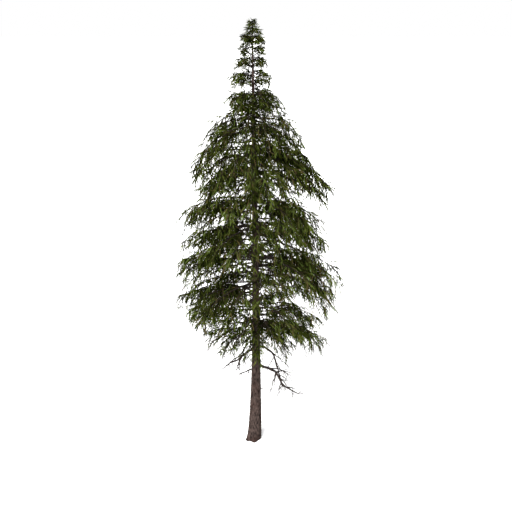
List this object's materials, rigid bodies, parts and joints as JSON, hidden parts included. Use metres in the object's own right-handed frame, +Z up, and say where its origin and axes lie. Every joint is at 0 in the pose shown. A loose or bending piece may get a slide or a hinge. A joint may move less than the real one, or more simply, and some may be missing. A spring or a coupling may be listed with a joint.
{
  "type": "spruce tree",
  "caption": "Open-grown spruce with a straight tapering stem, drooping boughs in whorls, hanging needle sprays and bare dead limbs below the crown.",
  "frame": {"origin": "centre of the flat cut under the stem, at ground level", "axes": "+Z up along the stem; +X to the right and -Y to the front of the view the tree was modelled from"},
  "size_m": [7.7306, 6.4171, 20],
  "materials": {
    "trunk_bark": "rough scaly bark, grey-brown with a purple cast",
    "bough_bark": "rough bark, dark brown",
    "dead_wood": "dry weathered wood, grey-brown",
    "spruce_needles": "matt needle sprays, dark olive green"
  },
  "bodies": {
    "root": {"bough_12_left": "bough_bark", "bough_12_right": "bough_bark", "bough_13_right": "bough_bark", "bough_14_right": "bough_bark", "dead_limb_left": "dead_wood", "dead_limb_left_high": "dead_wood", "dead_limb_right": "dead_wood", "dead_limb_right_high": "dead_wood", "needles_01_leader": "spruce_needles", "needles_02_left": "spruce_needles", "needles_02_right": "spruce_needles", "needles_03_left": "spruce_needles", "needles_03_right": "spruce_needles", "needles_04_back": "spruce_needles", "needles_04_left": "spruce_needles", "needles_04_right": "spruce_needles", "needles_05_back": "spruce_needles", "needles_05_left": "spruce_needles", "needles_05_right": "spruce_needles", "needles_06_back": "spruce_needles", "needles_06_front": "spruce_needles", "needles_06_left": "spruce_needles", "needles_06_right": "spruce_needles", "needles_07_back": "spruce_needles", "needles_07_front": "spruce_needles", "needles_07_left": "spruce_needles", "needles_07_right": "spruce_needles", "needles_08_back": "spruce_needles", "needles_08_front": "spruce_needles", "needles_08_left": "spruce_needles", "needles_08_right": "spruce_needles", "needles_09_back": "spruce_needles", "needles_09_front": "spruce_needles", "needles_09_left": "spruce_needles", "needles_09_right": "spruce_needles", "needles_10_back": "spruce_needles", "needles_10_front": "spruce_needles", "needles_10_left": "spruce_needles", "needles_10_right": "spruce_needles", "needles_11_back": "spruce_needles", "needles_11_front": "spruce_needles", "needles_11_left": "spruce_needles", "needles_11_right": "spruce_needles", "needles_12_back": "spruce_needles", "needles_12_front": "spruce_needles", "needles_12_left": "spruce_needles", "needles_12_right": "spruce_needles", "needles_13_back": "spruce_needles", "needles_13_front": "spruce_needles", "needles_13_left": "spruce_needles", "needles_13_right": "spruce_needles", "needles_14_back": "spruce_needles", "needles_14_front": "spruce_needles", "needles_14_left": "spruce_needles", "needles_14_right": "spruce_needles", "needles_15_back": "spruce_needles", "needles_15_front": "spruce_needles", "needles_15_left": "spruce_needles", "needles_15_right": "spruce_needles", "trunk": "trunk_bark"}
  },
  "joints": []
}
